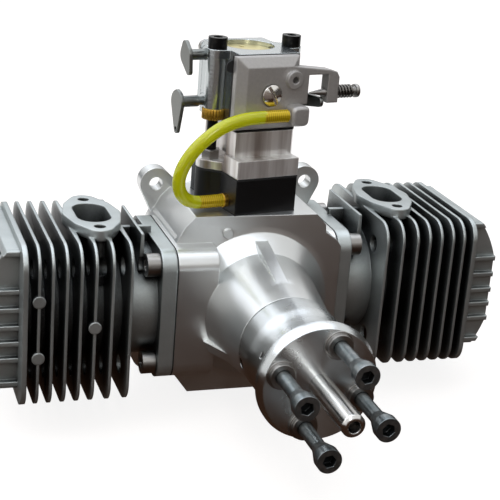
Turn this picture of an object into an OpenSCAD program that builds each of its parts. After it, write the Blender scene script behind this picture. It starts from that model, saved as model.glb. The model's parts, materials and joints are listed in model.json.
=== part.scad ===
// Two-stroke flat twin for a large model aircraft. Millimetres, +Z up, the propeller faces -Y.
// The origin is the centre of the four mounting lugs, on their rear faces.

/* [Crank train] */
// Cylinder bore
bore_d = 37; // [34:0.5:38]
// Piston stroke
stroke = 30; // [26:1:30]
// Connecting rod, centre to centre
rod_len = 50; // [49:1:54]
// Distance between the two cylinder axes along the crankshaft
stagger = 14.4; // [14:0.2:16]
// Thickness of each crank web
web_t = 7.5; // [6:0.5:7.5]
// Radius of the crank webs
web_r = 24; // [22:0.5:25]
// Diameter of the crank pins
pin_d = 11; // [9:0.5:12]
// Width of the connecting rod at both ends
rod_w = 9; // [7:0.5:9]
// Height of the connecting rod shank
shank_h = 8; // [6:0.5:10]
// Wrist pin diameter
wrist_d = 10; // [8:0.5:11]
// Wrist pin axis to the piston crown
crown_h = 16; // [14:0.5:18]
// Wrist pin axis to the bottom of the skirt
skirt_h = 9; // [7:0.5:9]
// Height of a piston ring
ring_h = 1.2; // [0.8:0.1:1.6]

/* [Crankcase] */
// Crank axis to the cylinder seats
deck_x = 33; // [32:0.5:35]
// Crank axis to the flat top, and to the bottom
case_h = 34.8; // [34:0.2:38]
// Front face of the case ahead of the centre between the cylinders
case_front = 21; // [20.5:0.5:24]
// Rear face of the case behind that centre
case_rear = 21; // [20.5:0.5:22]
// Room between the crank webs and the chamber wall
chamber_gap = 2.5; // [2:0.1:3]
// Length of the nose, from that centre to its front face
nose_front = 59.7; // [56:0.5:64]
// Radius of the nose at its front face
nose_r = 18; // [17:0.5:20]
// Radius of the shoulder where the nose leaves the case
nose_root_r = 22.6; // [21:0.2:25]
// Thickness of the mounting lugs
lug_t = 6.2; // [5:0.2:8]
// Radius of the mounting lugs
lug_r = 6.2; // [5.5:0.1:7]
// Hole in the mounting lugs
lug_hole_d = 5.2; // [4.2:0.1:6.4]
// Distance between the lug holes across the engine
lug_pitch_x = 60.8; // [58:0.2:66]
// Distance between the lug holes up the engine
lug_pitch_z = 71.8; // [70:0.2:78]
// How far the lug faces stand behind the case
lug_proud = 2; // [1:0.2:4]
// Length of the round neck behind the case, from the case centre to the rear cover
rear_neck = 33; // [32.5:0.5:36]
// Thickness of the rear cover plate
rear_cover_t = 3.5; // [2.5:0.5:5]

/* [Cylinders] */
// Thickness of the base gaskets
gasket_t = 0.5; // [0.3:0.1:1]
// Side of the square base flange
base_side = 49.8; // [48:0.2:52]
// Thickness of the base flange
base_t = 5.5; // [4:0.5:7]
// Distance between the base screws
base_pitch = 38; // [37.5:0.5:39]
// Outside diameter of the barrel
barrel_d = 43; // [42:0.5:44.5]
// Fin size along the crankshaft
fin_w = 61.6; // [56:0.2:66]
// Fin size up and down
fin_h = 60; // [56:0.5:61]
// Fin corner radius
fin_corner = 8; // [4:0.5:12]
// Fin thickness
fin_t = 1.8; // [1.2:0.1:2.4]
// Thickness of the outermost fin
end_fin_t = 2.6; // [1.8:0.1:3.4]
// Crown of the piston at top dead centre to the outermost fin
head_rise = 7.3; // [7:0.1:9]
// Reach of the head fins past the outermost fin
head_reach = 15.5; // [12:0.5:18]
// Thickness of the head fins
head_fin_t = 1.8; // [1.2:0.1:2.4]
// Exhaust flange face above the cylinder axis
exhaust_z = 33; // [32:0.5:36]
// Distance between the exhaust flange holes
exhaust_pitch = 31; // [29:0.5:34]
// Spark plug thread diameter
plug_d = 10; // [8:1:12]

/* [Propeller drive] */
// Gap between the nose and the hub
hub_gap = 0.8; // [0.4:0.1:1.5]
// Length of the hub
hub_len = 31.7; // [28:0.5:36]
// Radius of the hub rim
hub_r = 21.1; // [20:0.1:24]
// Radius of the hub beside the nose
hub_rear_r = 18.4; // [17.5:0.1:20]
// Bolt circle of the propeller
prop_pcd = 30; // [26:0.5:31]
// Shank diameter of the propeller bolts
prop_bolt_d = 5; // [4:0.5:5.5]
// Exposed shank of the propeller bolts
prop_bolt_len = 20.3; // [12:0.5:30]
// Diameter of the spinner stub
stub_d = 8; // [6:0.5:9]
// Reach of the spinner stub past the hub face
stub_len = 30.3; // [24:0.5:40]

/* [Intake and carburettor] */
// Turn of the carburettor about the vertical
carb_yaw = 11.5; // [0:0.5:12]
// Height of the reed block
reed_h = 12.8; // [10:0.2:16]
// Thickness of the manifold flange
flange_h = 6.7; // [6:0.1:9]
// Height of the manifold neck
neck_h = 9.4; // [7:0.2:12]
// Height of the carburettor body
carb_h = 27.4; // [26:0.2:32]
// Throttle bore
bore_r = 9.1; // [8:0.1:9.5]
// Choke bore
choke_bore_r = 9.9; // [9.5:0.1:10.2]
// Distance between the two carburettor bolts
carb_pitch = 31; // [30:0.5:34]
// Carburettor bolt diameter
carb_bolt_d = 4; // [3:0.5:4.5]
// Outside diameter of the pulse tube
tube_d = 4.8; // [4:0.2:5.6]
// Wire of the idle screw spring
spring_wire = 0.8; // [0.5:0.1:1.2]

/* [Hidden] */
$fn = 64;
eps = 0.01;
// Running clearance at pistons, discs and shafts
run = 0.05;
// Clearance across the open crank joints
open_gap = 0.3;
chamber_r = web_r + chamber_gap;
throw_r = stroke / 2;
bore_rad = bore_d / 2;
wrist_x = throw_r + rod_len;
crown_x = wrist_x + crown_h;
skirt_x = wrist_x - skirt_h;
lug_plane = case_rear + lug_proud;
seat_x = deck_x + gasket_t;
base_x = seat_x + base_t;
barrel_r = barrel_d / 2;
spigot_r = bore_rad + 2;
// The spigot stops short of the lowest skirt position
spigot_x = skirt_x - stroke;
head_x = crown_x + head_rise;
// Spacing of the eight fins, from the outermost inward
fin_gaps = [0, 4.7, 4.7, 4.9, 5, 5.1, 6, 6.6];
function fin_x(i) = i == 0 ? head_x : fin_x(i - 1) - fin_gaps[i];
port_x = head_x - 28;
// Heights of the head fins
head_fins = [27, 13, 6.2, -0.4, -6.4, -12.6, -21.7];
web_y0 = rod_w / 2 + stagger / 2 + open_gap;
chamber_y = web_y0 + web_t + 0.5;
nose_seat_y = nose_front - 3.7;
// Ball bearings: bore radius, outer radius and width
front_bearing = [6, 14, 8];
main_bearing = [7.5, 16, 9];
ball_r = 2.4;
rear_bearing_y = chamber_y + 2;
// Front face of each bearing and its sizes
bearings = [[-nose_seat_y, front_bearing], [-chamber_y - main_bearing[2], main_bearing],
    [rear_bearing_y, front_bearing]];
// The crank goes in through the rear neck
rear_bore_r = web_r + 1;
rear_seat_y = rear_neck + gasket_t;
rear_cover_r = rear_bore_r + 7.5;
rear_screw_r = rear_bore_r + 4;
rear_screw_d = 3;
// Half width between the flats that keep the rear neck clear of the cylinder seats
neck_flat = deck_x - 0.3;
pad_t = 15;
base_screw_d = 5;
base_hole_r = base_screw_d / 2 + 0.1;
wrist_half = bore_rad - 3.2;
hub_y0 = nose_front + hub_gap;
hub_y1 = hub_y0 + hub_len;
prop_head_y = hub_y1 + prop_bolt_len + 5;
washer_t = 0.9;
// The stub's root in the hub is thinner, so that its shoulder rests on the hub face
stub_root_r = stub_d / 2 - 0.6;
deck_z = case_h;
reed_z = deck_z + gasket_t;
manifold_z = reed_z + reed_h + gasket_t;
neck_z = manifold_z + flange_h;
carb_z = neck_z + neck_h + gasket_t;
carb_top = carb_z + carb_h;
// Middle of the carburettor bolts behind the case centre
carb_y = 1.4;
// The bores sit behind the line of the carburettor bolts
bore_y = 5;
// Centre, width and depth of the reed opening in the carburettor's frame
reed_at = [-1.8, -2, 0];
reed_w = 15;
reed_d = 21;
bolt_hole_r = carb_bolt_d / 2 + 0.2;
choke_z = carb_top - 3.2;
throttle_z = carb_z + 6.9;
shaft_r = 2;
throttle_shaft_r = 1.6;
// Back and front faces of the pump cover, and its left and right edges
cover_y = -12.3;
cover_t = 4.8;
cover_face = cover_y - cover_t;
cover_left = -15.2;
cover_right = 10.8;
cover_screw = [-1.4, carb_z + 13.2];
vent = [7.4, carb_top - 8.5];
idle_z = carb_z + 13;
idle_y = cover_y - 2.6;
arm_x = 27.2;
// Free end and mean radius of the idle screw spring
spring_end = 35.5;
spring_r = 2.15;
// The cone of the idle screw, and the throttle's stop arm that rests under it
cone_x = 16;
cone_len = 6.6;
stop_x = 20;
stop_z = idle_z - 3.6;
elbow_x = 8.6;
elbow_y = cover_face - 2.7;
elbow_z = carb_z + 6.2;
elbow_r = 3.8;
barb_z = reed_z + 3.5;
barb_y = elbow_y + 7.3;
// Pulse tube: inside radius, and radius of the barbs that stretch it
tube_in = 1.5;
barb_r = 1.75;
// Left, right, front and back edges of the reed block, and the radius of its ear
block_left = -14.6;
block_right = 10.8;
block_front = -20;
block_back = 16;
ear_r = 5.2;
// Route of the pulse tube in the carburettor's frame, from the elbow to the reed block: to the left of its
// lower end, behind the elbow, and the share of its rise
tube_route = [[20.4, 0, 1], [15, 0, 1], [10.2, 0, 0.997], [4.2, 0, 0.988], [-1.3, 0.2, 0.954],
    [-6.5, 0.6, 0.887], [-10.8, 1.3, 0.791], [-14.6, 2.1, 0.675], [-17.4, 3, 0.546], [-19.1, 4, 0.408],
    [-19.4, 4.9, 0.279], [-18.1, 5.8, 0.156], [-15.3, 6.6, 0.061], [-11.6, 7, 0.012], [-6.9, 7.3, 0],
    [0, 7.3, 0]];
tube_path = [for (p = tube_route)
    [block_left - 1.6 + p[0], elbow_y + p[1], barb_z + p[2] * (elbow_z - barb_z)]];

// Moves the crank frame so that the lug faces lie at y = 0
module seated() translate([0, -lug_plane, 0]) children();

// Right-hand parts are drawn on the +X side and turned round for the left
module right_side() seated() translate([0, stagger / 2, 0]) children();
module left_side() seated() translate([0, -stagger / 2, 0]) rotate([0, 0, 180]) children();

// The carburettor's frame: its bolts lie on x, its vertical is z
module carb_frame() seated() translate([0, carb_y, 0]) rotate([0, 0, carb_yaw]) children();

module rod_x(x0, x1, r) translate([x0, 0, 0]) rotate([0, 90, 0]) cylinder(h = x1 - x0, r = r);
module rod_y(y0, y1, r) translate([0, y1, 0]) rotate([90, 0, 0]) cylinder(h = y1 - y0, r = r);
module slab_x(x0, x1) translate([x0, 0, 0]) rotate([90, 0, 90]) linear_extrude(x1 - x0) children();
module slab_y(y0, y1) translate([0, y1, 0]) rotate([90, 0, 0]) linear_extrude(y1 - y0) children();
module slab_z(z0, z1) translate([0, 0, z0]) linear_extrude(z1 - z0) children();
module spin_y() rotate([-90, 0, 0]) rotate_extrude() children();

module round_rect(w, h, r) {
    square([w - 2 * r, h], center = true);
    square([w, h - 2 * r], center = true);
    for (sx = [-1, 1], sy = [-1, 1]) translate([sx * (w / 2 - r), sy * (h / 2 - r)]) circle(r);
}

// Two discs joined by their outer tangents
module link(p, rp, q, rq) {
    a = atan2(q[1] - p[1], q[0] - p[0]);
    b = acos((rp - rq) / norm(q - p));
    translate(p) circle(rp);
    translate(q) circle(rq);
    polygon([for (e = [[p, rp, 1], [q, rq, 1], [q, rq, -1], [p, rp, -1]])
        e[0] + (e[1] - eps) * [cos(a + e[2] * b), sin(a + e[2] * b)]]);
}

// Hexagon socket head screw along -Z from its seat at z = 0
module cap_screw(d, len, head_d, head_h) {
    translate([0, 0, -len]) cylinder(h = len, r = d / 2);
    difference() {
        cylinder(h = head_h, r = head_d / 2);
        translate([0, 0, head_h * 0.45]) cylinder(h = head_h, r = d * 0.46, $fn = 6);
    }
}

function unit(v) = v / norm(v);
function along(p, i) = unit(p[min(i + 1, len(p) - 1)] - p[max(i - 1, 0)]);
function ring_at(p, i, r, n, ref) =
    let (t = along(p, i), a = unit(cross(t, ref)), b = cross(t, a))
    [for (k = [0:n - 1]) p[i] + r * (cos(360 * k / n) * a + sin(360 * k / n) * b)];

// Round bar swept along the points p
module sweep(p, r, n, ref) {
    m = len(p);
    pts = [for (i = [0:m - 1]) each ring_at(p, i, r, n, ref)];
    sides = [for (i = [0:m - 2], k = [0:n - 1])
        let (a = i * n + k, b = i * n + (k + 1) % n) [a, a + n, b + n, b]];
    first = [for (k = [0:n - 1]) k];
    last = [for (k = [0:n - 1]) m * n - 1 - k];
    polyhedron(pts, concat([first], sides, [last]));
}

module case_outline() {
    w = deck_x;
    h = case_h;
    polygon([[-w, -h + 12], [-w, h - 12.5], [-w + 4.4, h - 4], [-w + 8.3, h], [w - 11, h], [w - 7, h - 4.3],
        [w - 6.7, h - 7.3], [w - 1.8, h - 10.6], [w, h - 13.2], [w, -h + 12], [w - 9, -h], [-w + 9, -h]]);
}

// Main casting: chamber, cylinder pads, nose, lugs and the deck for the reed block
module crankcase() color("silver") seated() difference() {
    union() {
        slab_y(-case_front, case_rear) case_outline();
        for (s = [-1, 1]) slab_x(s < 0 ? -deck_x : deck_x - pad_t, s < 0 ? -deck_x + pad_t : deck_x)
            translate([s * stagger / 2, 0]) round_rect(base_side, base_side, 7);
        spin_y() polygon([[0, -15], [31, -15], [31, -case_front], [28.4, -case_front - 0.6],
            [27.3, -case_front - 1.6], [nose_root_r, -case_front - 7.2], [nose_r, -nose_front],
            [0, -nose_front]]);
        for (a = [-118, 0, 118]) rotate([0, a, 0]) slab_x(-2.6, 2.2) polygon([[-case_front, 15],
            [-case_front, 26.5], [-case_front - 7.2, nose_root_r + 2.6], [-case_front - 29, nose_r + 1.2],
            [-case_front - 29, 12]]);
        translate([-12.4, 0, case_h - 6.4]) rod_y(-case_front - 1.3, -case_front + 1, 1.9);
        for (i = [0:2]) slab_y(-case_front + 3, case_rear - 3)
            translate([-deck_x + 3.2 + 2.6 * i, case_h - 9.6 + 3.2 * i]) rotate(52)
                square([1.5, 3.4], center = true);
        for (sx = [-1, 1], sz = [-1, 1]) slab_y(lug_plane - lug_t, lug_plane)
            link([sx * lug_pitch_x / 2, sz * lug_pitch_z / 2], lug_r,
                [sx * (deck_x - 12), sz * (case_h - 12)], 9);
        intersection() {
            rod_y(case_rear - 4, rear_neck, rear_cover_r);
            translate([-neck_flat, 0, -2 * neck_flat]) cube([2 * neck_flat, rear_neck + 1, 4 * neck_flat]);
        }
    }
    rod_y(-chamber_y, chamber_y, chamber_r);
    rod_y(0, rear_neck + 1, rear_bore_r);
    rod_y(-nose_front - 1, -nose_seat_y + front_bearing[2], front_bearing[1]);
    rod_y(-nose_seat_y, 0, 12.5);
    rod_y(-chamber_y - main_bearing[2], 0, main_bearing[1]);
    for (s = [-1, 1]) translate([0, s * stagger / 2, 0]) rotate([0, 0, s < 0 ? 180 : 0]) {
        rod_x(spigot_x - 0.4, deck_x + 1, spigot_r + run);
        for (y = [-1, 1], z = [-1, 1]) translate([0, y * base_pitch / 2, z * base_pitch / 2])
            rod_x(deck_x - 11.5, deck_x + 1, base_screw_d / 2);
    }
    intersection() {
        for (s = [-1, 1]) translate([0, s * stagger / 2, 0]) rotate([0, 0, s < 0 ? 180 : 0])
            rod_x(8, spigot_x, spigot_r - 1.5);
        slab_y(-chamber_y, chamber_y) square(80, center = true);
    }
    for (sx = [-1, 1], sz = [-1, 1]) translate([sx * lug_pitch_x / 2, 0, sz * lug_pitch_z / 2])
        rod_y(lug_plane - lug_t - 1, lug_plane + 1, lug_hole_d / 2);
    rear_screw_places() rod_y(rear_neck - 9, rear_neck + 1, rear_screw_d / 2);
    translate([0, carb_y, 0]) rotate([0, 0, carb_yaw]) slab_z(15, case_h + 1) reed_window();
}

// Above and below only, because the cylinder seats stand at the sides
module rear_screw_places() for (a = [30, 150, 210, 330])
    rotate([0, a, 0]) translate([0, 0, rear_screw_r]) children();

// Ribbed plate whose plug fills the neck and carries the rear bearing
module rear_cover() color("silver") seated() difference() {
    union() {
        rod_y(rear_seat_y, rear_seat_y + rear_cover_t, rear_cover_r);
        rod_y(chamber_y + 0.5, rear_seat_y + 1, rear_bore_r - run);
        rod_y(rear_seat_y, rear_seat_y + rear_cover_t + 2, 12);
        for (i = [0:2]) rotate([0, 60 * i, 0]) slab_y(rear_seat_y + 1, rear_seat_y + rear_cover_t + 1.6)
            square([2.5, 2 * rear_bore_r - 2], center = true);
    }
    rod_y(0, rear_bearing_y + front_bearing[2], front_bearing[1]);
    rod_y(0, rear_bearing_y + front_bearing[2] + 1.4, front_bearing[1] - 3);
    difference() {
        rod_y(0, rear_seat_y - 0.5, rear_bore_r - 2.5);
        rod_y(-1, rear_seat_y, front_bearing[1] + 3);
    }
    rear_screw_places() rod_y(rear_neck, rear_seat_y + rear_cover_t + 3, rear_screw_d / 2 + 0.1);
}

module rear_cover_gasket() color("dimgray") seated() difference() {
    rod_y(rear_neck, rear_seat_y, rear_cover_r);
    rod_y(rear_neck - 1, rear_seat_y + 1, rear_bore_r);
    rear_screw_places() rod_y(rear_neck - 1, rear_seat_y + 1, rear_screw_d / 2 + 0.1);
}

module rear_cover_screws() color("dimgray") seated() rear_screw_places()
    translate([0, rear_seat_y + rear_cover_t, 0]) rotate([-90, 0, 0]) cap_screw(rear_screw_d, 11, 5.5, 3);

// Groove for the balls of bearing b
module ball_groove(b) translate([0, b[0] + b[1][2] / 2, 0]) rotate([90, 0, 0]) rotate_extrude()
    translate([(b[1][0] + b[1][1]) / 2, 0]) circle(ball_r + run);

module bearing_outer_rings() color("lightgray") seated() for (b = bearings) difference() {
    rod_y(b[0], b[0] + b[1][2], b[1][1]);
    rod_y(b[0] - 1, b[0] + b[1][2] + 1, (b[1][0] + b[1][1]) / 2 + 1.5);
    ball_groove(b);
}

module bearing_inner_rings() color("lightgray") seated() for (b = bearings) difference() {
    rod_y(b[0], b[0] + b[1][2], (b[1][0] + b[1][1]) / 2 - 1.5);
    rod_y(b[0] - 1, b[0] + b[1][2] + 1, b[1][0]);
    ball_groove(b);
}

module bearing_balls() color("silver") seated() for (b = bearings, i = [0:7])
    rotate([0, 45 * i, 0]) translate([(b[1][0] + b[1][1]) / 2, b[0] + b[1][2] / 2, 0]) sphere(ball_r);

module crank_seal() color("black") seated() difference() {
    rod_y(-nose_front + 0.3, -nose_seat_y, front_bearing[1]);
    rod_y(-nose_front - 1, 0, front_bearing[0] + run);
    rod_y(-nose_front - 1, -nose_front + 1.2, 11);
}

// Crank web with its counterweight opposite the pin, pin towards +x
module web_outline() {
    intersection() {
        circle(web_r);
        translate([-web_r - 4, 0]) square([2 * web_r, 3 * web_r], center = true);
    }
    link([0, 0], 14, [throw_r, 0], pin_d / 2 + 3.5);
}

module crankshaft_front() color("lightsteelblue") seated() difference() {
    union() {
        slab_y(-web_y0 - web_t, -web_y0) rotate(180) web_outline();
        rod_y(-chamber_y, -web_y0, 10);
        rod_y(-nose_seat_y + front_bearing[2] + 1, -web_y0, main_bearing[0]);
        rod_y(-hub_y1 + 7, -web_y0, front_bearing[0]);
    }
    rod_y(-hub_y1, -hub_y1 + 21, stub_root_r);
}

module crankshaft_centre() color("lightsteelblue") seated()
    slab_y(-stagger / 2 + rod_w / 2 + open_gap, stagger / 2 - rod_w / 2 - open_gap) difference() {
        union() {
            link([-throw_r, 0], pin_d / 2 + 3.5, [throw_r, 0], pin_d / 2 + 3.5);
            circle(13);
        }
        circle(4);
    }

module crankshaft_rear() color("lightsteelblue") seated() {
    slab_y(web_y0, web_y0 + web_t) web_outline();
    rod_y(web_y0, rear_bearing_y, 8.5);
    rod_y(web_y0, rear_bearing_y + front_bearing[2], front_bearing[0]);
}

module hub_bolt_places() for (i = [0:3])
    rotate([0, -71 - 90 * i, 0]) translate([prop_pcd / 2, 0, 0]) children();

module prop_hub() color("gainsboro") seated() difference() {
    spin_y() polygon([[0, -hub_y0], [hub_rear_r - 0.4, -hub_y0], [hub_rear_r, -hub_y0 - 0.6],
        [hub_rear_r, -hub_y0 - 9], [hub_rear_r - 0.9, -hub_y0 - 14], [hub_rear_r - 1, -hub_y0 - 18],
        [hub_rear_r - 0.5, -hub_y1 + 9], [hub_rear_r + 0.7, -hub_y1 + 6.2], [hub_r, -hub_y1 + 4.4],
        [hub_r, -hub_y1 + 3], [hub_r - 1.2, -hub_y1], [0, -hub_y1]]);
    rod_y(-hub_y1 + 6, 0, front_bearing[0]);
    rod_y(-hub_y1 - 1, 0, stub_root_r);
    hub_bolt_places() rod_y(-hub_y1 - 1, -hub_y1 + 14, prop_bolt_d / 2 + run);
    translate([0, -hub_y0 - 3, 0]) rotate([0, 167, 0]) rod_x(hub_rear_r - 3, hub_rear_r + 1, 2);
}

module hub_magnet() color("slategray") seated() translate([0, -hub_y0 - 3, 0]) rotate([0, 167, 0])
    rod_x(hub_rear_r - 3, hub_rear_r - 0.15, 2 - run);

module stub_shaft() color("whitesmoke") seated() difference() {
    union() {
        rod_y(-hub_y1 - stub_len + 1, -hub_y1, stub_d / 2);
        rod_y(-hub_y1 - 1, -hub_y1 + 20, stub_root_r);
        translate([0, -hub_y1 - stub_len + 1, 0]) rotate([90, 0, 0])
            cylinder(h = 1, r1 = stub_d / 2, r2 = stub_d / 2 - 1);
    }
    rod_y(-hub_y1 - stub_len - 1, -hub_y1 - stub_len + 14, 2.1);
}

// Long screws with a conical neck under the head, screwed part way into the hub
module prop_bolts() color("dimgray") seated() hub_bolt_places() {
    rod_y(-hub_y1 - prop_bolt_len, -hub_y1 + 12, prop_bolt_d / 2);
    difference() {
        union() {
            rod_y(-prop_head_y, -prop_head_y + 3.4, prop_bolt_d / 2 + 1.75);
            translate([0, -prop_head_y + 3.4, 0]) rotate([-90, 0, 0])
                cylinder(h = 6, r1 = prop_bolt_d / 2 + 1.75, r2 = prop_bolt_d / 2);
        }
        translate([0, -prop_head_y + 3, 0]) rotate([90, 0, 0]) cylinder(h = 5, r = 2.3, $fn = 6);
    }
}

module prop_washers() color("silver") seated() hub_bolt_places() for (i = [0:2]) difference() {
    rod_y(-hub_y1 - washer_t * (i + 1), -hub_y1 - washer_t * i, i == 0 ? 5 : 4.4);
    rod_y(-hub_y1 - 9, -hub_y1 + 1, prop_bolt_d / 2 + run);
}

module fin_plate(x, t) slab_x(x - t / 2, x + t / 2) round_rect(fin_w, fin_h, fin_corner);

// A full oval round the port and its two screws
module exhaust_plan(grow = 0) for (s = [-1, 1]) {
    link([0, 0], 10.6 + grow, [0, s * exhaust_pitch / 4], 8.9 + grow);
    link([0, s * exhaust_pitch / 4], 8.9 + grow, [0, s * exhaust_pitch / 2], 5 + grow);
}

// One casting: spigot, base flange, barrel, fins, exhaust stand and finned head
module cylinder_body() difference() {
    union() {
        rod_x(spigot_x, base_x, spigot_r);
        slab_x(seat_x, base_x) round_rect(base_side, base_side, 7);
        rod_x(seat_x, head_x + 1, barrel_r);
        for (i = [1:7]) fin_plate(fin_x(i), fin_t);
        fin_plate(head_x, end_fin_t);
        slab_x(base_x + 5, base_x + 5 + fin_t) intersection() {
            round_rect(fin_w, fin_h, fin_corner);
            translate([0, fin_h / 2]) square([33, 28], center = true);
        }
        slab_y(-1, 1) translate([base_x - 1, barrel_r - 3]) square([fin_x(7) - base_x + 1, 9]);
        translate([port_x, 0, 0]) {
            slab_z(12, exhaust_z) exhaust_plan(-1.6);
            slab_z(exhaust_z - 4, exhaust_z) exhaust_plan();
        }
        intersection() {
            union() {
                for (z = head_fins) translate([0, 0, z - head_fin_t / 2])
                    linear_extrude(head_fin_t) translate([head_x, -25]) square([head_reach, 50]);
                for (y = [-22, 22]) slab_y(y - 1, y + 1)
                    translate([head_x, -24]) square([head_reach - 1.2, 52]);
            }
            translate([head_x + head_reach - 126, 0, -40]) cylinder(h = 80, r = 126);
            translate([head_x + head_reach - 45, 0, 0]) rod_y(-40, 40, 45);
        }
        rod_x(head_x, head_x + 8, 9);
    }
    rod_x(0, crown_x + 1, bore_rad);
    translate([crown_x + 1 - eps, 0, 0]) rotate([0, 90, 0]) cylinder(h = head_rise - 1.5, r1 = 14, r2 = 7);
    rod_x(crown_x, head_x + 9, plug_d / 2 - 0.5);
    difference() {
        rod_x(head_x + end_fin_t / 2, head_x + head_reach + 1, 11);
        rod_x(head_x, head_x + 8, 9);
    }
    translate([port_x, 0, 0]) {
        slab_z(12, exhaust_z + 1) round_rect(12.4, 21.6, 6.1);
        for (s = [-1, 1]) translate([0, s * exhaust_pitch / 2, exhaust_z - 9]) cylinder(h = 10, r = 2.1);
    }
    for (y = [-1, 1], z = [-1, 1]) translate([0, y * base_pitch / 2, z * base_pitch / 2]) {
        rod_x(seat_x - 1, base_x + 1, base_hole_r);
        rod_x(base_x + eps, head_x + 3, 3.4);
    }
}

module cylinder_left() color("slategray") left_side() cylinder_body();
module cylinder_right() color("slategray") right_side() cylinder_body();

module base_gasket() difference() {
    slab_x(deck_x, seat_x) round_rect(base_side, base_side, 7);
    rod_x(0, base_x, spigot_r + run);
    for (y = [-1, 1], z = [-1, 1]) translate([0, y * base_pitch / 2, z * base_pitch / 2])
        rod_x(0, base_x, base_hole_r);
}

module base_gaskets() color("black") {
    left_side() base_gasket();
    right_side() base_gasket();
}

module base_screws() for (y = [-1, 1], z = [-1, 1])
    translate([base_x, y * base_pitch / 2, z * base_pitch / 2]) rotate([0, 90, 0])
        cap_screw(base_screw_d, 16, 8.5, 5);

module cylinder_bolts() color("gainsboro") {
    left_side() base_screws();
    right_side() base_screws();
}

module ring_places() for (x = [crown_x - 3, crown_x - 6.2]) translate([x, 0, 0]) children();

module piston() difference() {
    rod_x(skirt_x, crown_x, bore_rad - run);
    difference() {
        rod_x(skirt_x - 1, crown_x - 4, bore_rad - 3);
        for (s = [-1, 1]) slab_y(s < 0 ? -bore_rad : rod_w / 2 + 0.7, s < 0 ? -rod_w / 2 - 0.7 : bore_rad)
            link([wrist_x, 0], wrist_d / 2 + 3, [crown_x, 0], 9);
    }
    translate([wrist_x, 0, 0]) rod_y(-bore_rad, bore_rad, wrist_d / 2);
    ring_places() difference() {
        rod_x(-ring_h, 0, bore_rad + 1);
        rod_x(-ring_h - 1, 1, bore_rad - 1.8);
    }
}

module piston_left() color("silver") left_side() piston();
module piston_right() color("silver") right_side() piston();

module piston_rings() ring_places() difference() {
    rod_x(-ring_h + run, -run, bore_rad - 0.02);
    rod_x(-ring_h - 1, 1, bore_rad - 1.7);
    translate([-ring_h, -0.2, 0]) cube([2 * ring_h, 0.4, bore_rad + 1]);
}

module piston_rings_left() color("dimgray") left_side() piston_rings();
module piston_rings_right() color("dimgray") right_side() piston_rings();

module wrist_pin() translate([wrist_x, 0, 0]) difference() {
    rod_y(-wrist_half, wrist_half, wrist_d / 2);
    rod_y(-wrist_half - 1, wrist_half + 1, wrist_d / 2 - 2);
}

module wrist_pin_left() color("lightgray") left_side() wrist_pin();
module wrist_pin_right() color("lightgray") right_side() wrist_pin();

module wrist_clips() translate([wrist_x, 0, 0]) for (s = [-1, 1])
    translate([0, s * (wrist_half + 0.6), 0]) difference() {
        rod_y(-0.5, 0.5, wrist_d / 2);
        rod_y(-1, 1, wrist_d / 2 - 1);
        translate([-1, -1, -wrist_d]) cube([2, 2, wrist_d]);
    }

module wrist_clips_left() color("gray") left_side() wrist_clips();
module wrist_clips_right() color("gray") right_side() wrist_clips();

// Forged rod with an I section between its two eyes
module rod() difference() {
    union() {
        slab_y(-rod_w / 2, rod_w / 2) {
            translate([throw_r, 0]) circle(pin_d / 2 + 4.7);
            translate([wrist_x, 0]) circle(wrist_d / 2 + 3.2);
        }
        slab_y(-rod_w / 2 + 1.3, rod_w / 2 - 1.3)
            polygon([[throw_r, shank_h / 2 + 1], [wrist_x, shank_h / 2], [wrist_x, -shank_h / 2],
                [throw_r, -shank_h / 2 - 1]]);
    }
    translate([throw_r, 0, 0]) rod_y(-rod_w, rod_w, pin_d / 2 + 1.9);
    translate([wrist_x, 0, 0]) rod_y(-rod_w, rod_w, wrist_d / 2 + 1.2);
    for (s = [-1, 1]) slab_y(s < 0 ? -rod_w : rod_w / 2 - 2.6, s < 0 ? -rod_w / 2 + 2.6 : rod_w)
        polygon([[throw_r + pin_d / 2 + 6, shank_h / 2 - 1.2], [wrist_x - wrist_d / 2 - 4, shank_h / 2 - 1.6],
            [wrist_x - wrist_d / 2 - 4, -shank_h / 2 + 1.6], [throw_r + pin_d / 2 + 6, -shank_h / 2 + 1.2]]);
}

module rod_left() color("darkgray") left_side() rod();
module rod_right() color("darkgray") right_side() rod();

// Caged needles at both eyes
module rod_bearings() {
    for (e = [[throw_r, pin_d / 2, 1.9], [wrist_x, wrist_d / 2, 1.2]]) translate([e[0], 0, 0]) difference() {
        rod_y(-rod_w / 2 + 0.2, rod_w / 2 - 0.2, e[1] + e[2]);
        rod_y(-rod_w, rod_w, e[1]);
    }
}

module rod_bearings_left() color("goldenrod") left_side() rod_bearings();
module rod_bearings_right() color("goldenrod") right_side() rod_bearings();

module crank_pin() translate([throw_r, 0, 0]) rod_y(-rod_w / 2, rod_w / 2, pin_d / 2);

module crank_pin_left() color("lightgray") left_side() crank_pin();
module crank_pin_right() color("lightgray") right_side() crank_pin();

// Plan of the flange: the front stands left of the bolt line, an ear carries the left bolt
module flange_plan() {
    translate([block_left, block_front]) square([block_right - block_left, block_back - block_front]);
    translate([-carb_pitch / 2, 0]) circle(ear_r);
    polygon([[-carb_pitch / 2 - 2, -4.7], [block_left + 1, -9], [block_left + 1, 9],
        [-carb_pitch / 2 - 2, 4.7]]);
}

module reed_window(grow = 0) translate(reed_at) round_rect(reed_w + grow, reed_d + grow, 2.5);

module left_bolt_hole(z0, z1) translate([-carb_pitch / 2, 0, 0]) slab_z(z0, z1) circle(bolt_hole_r);

module intake_passage(z0, z1, r) translate([0, bore_y, 0]) slab_z(z0, z1) circle(r);

module carb_bolt_places() for (s = [-1, 1]) translate([s * carb_pitch / 2, 0, 0]) children();

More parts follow.
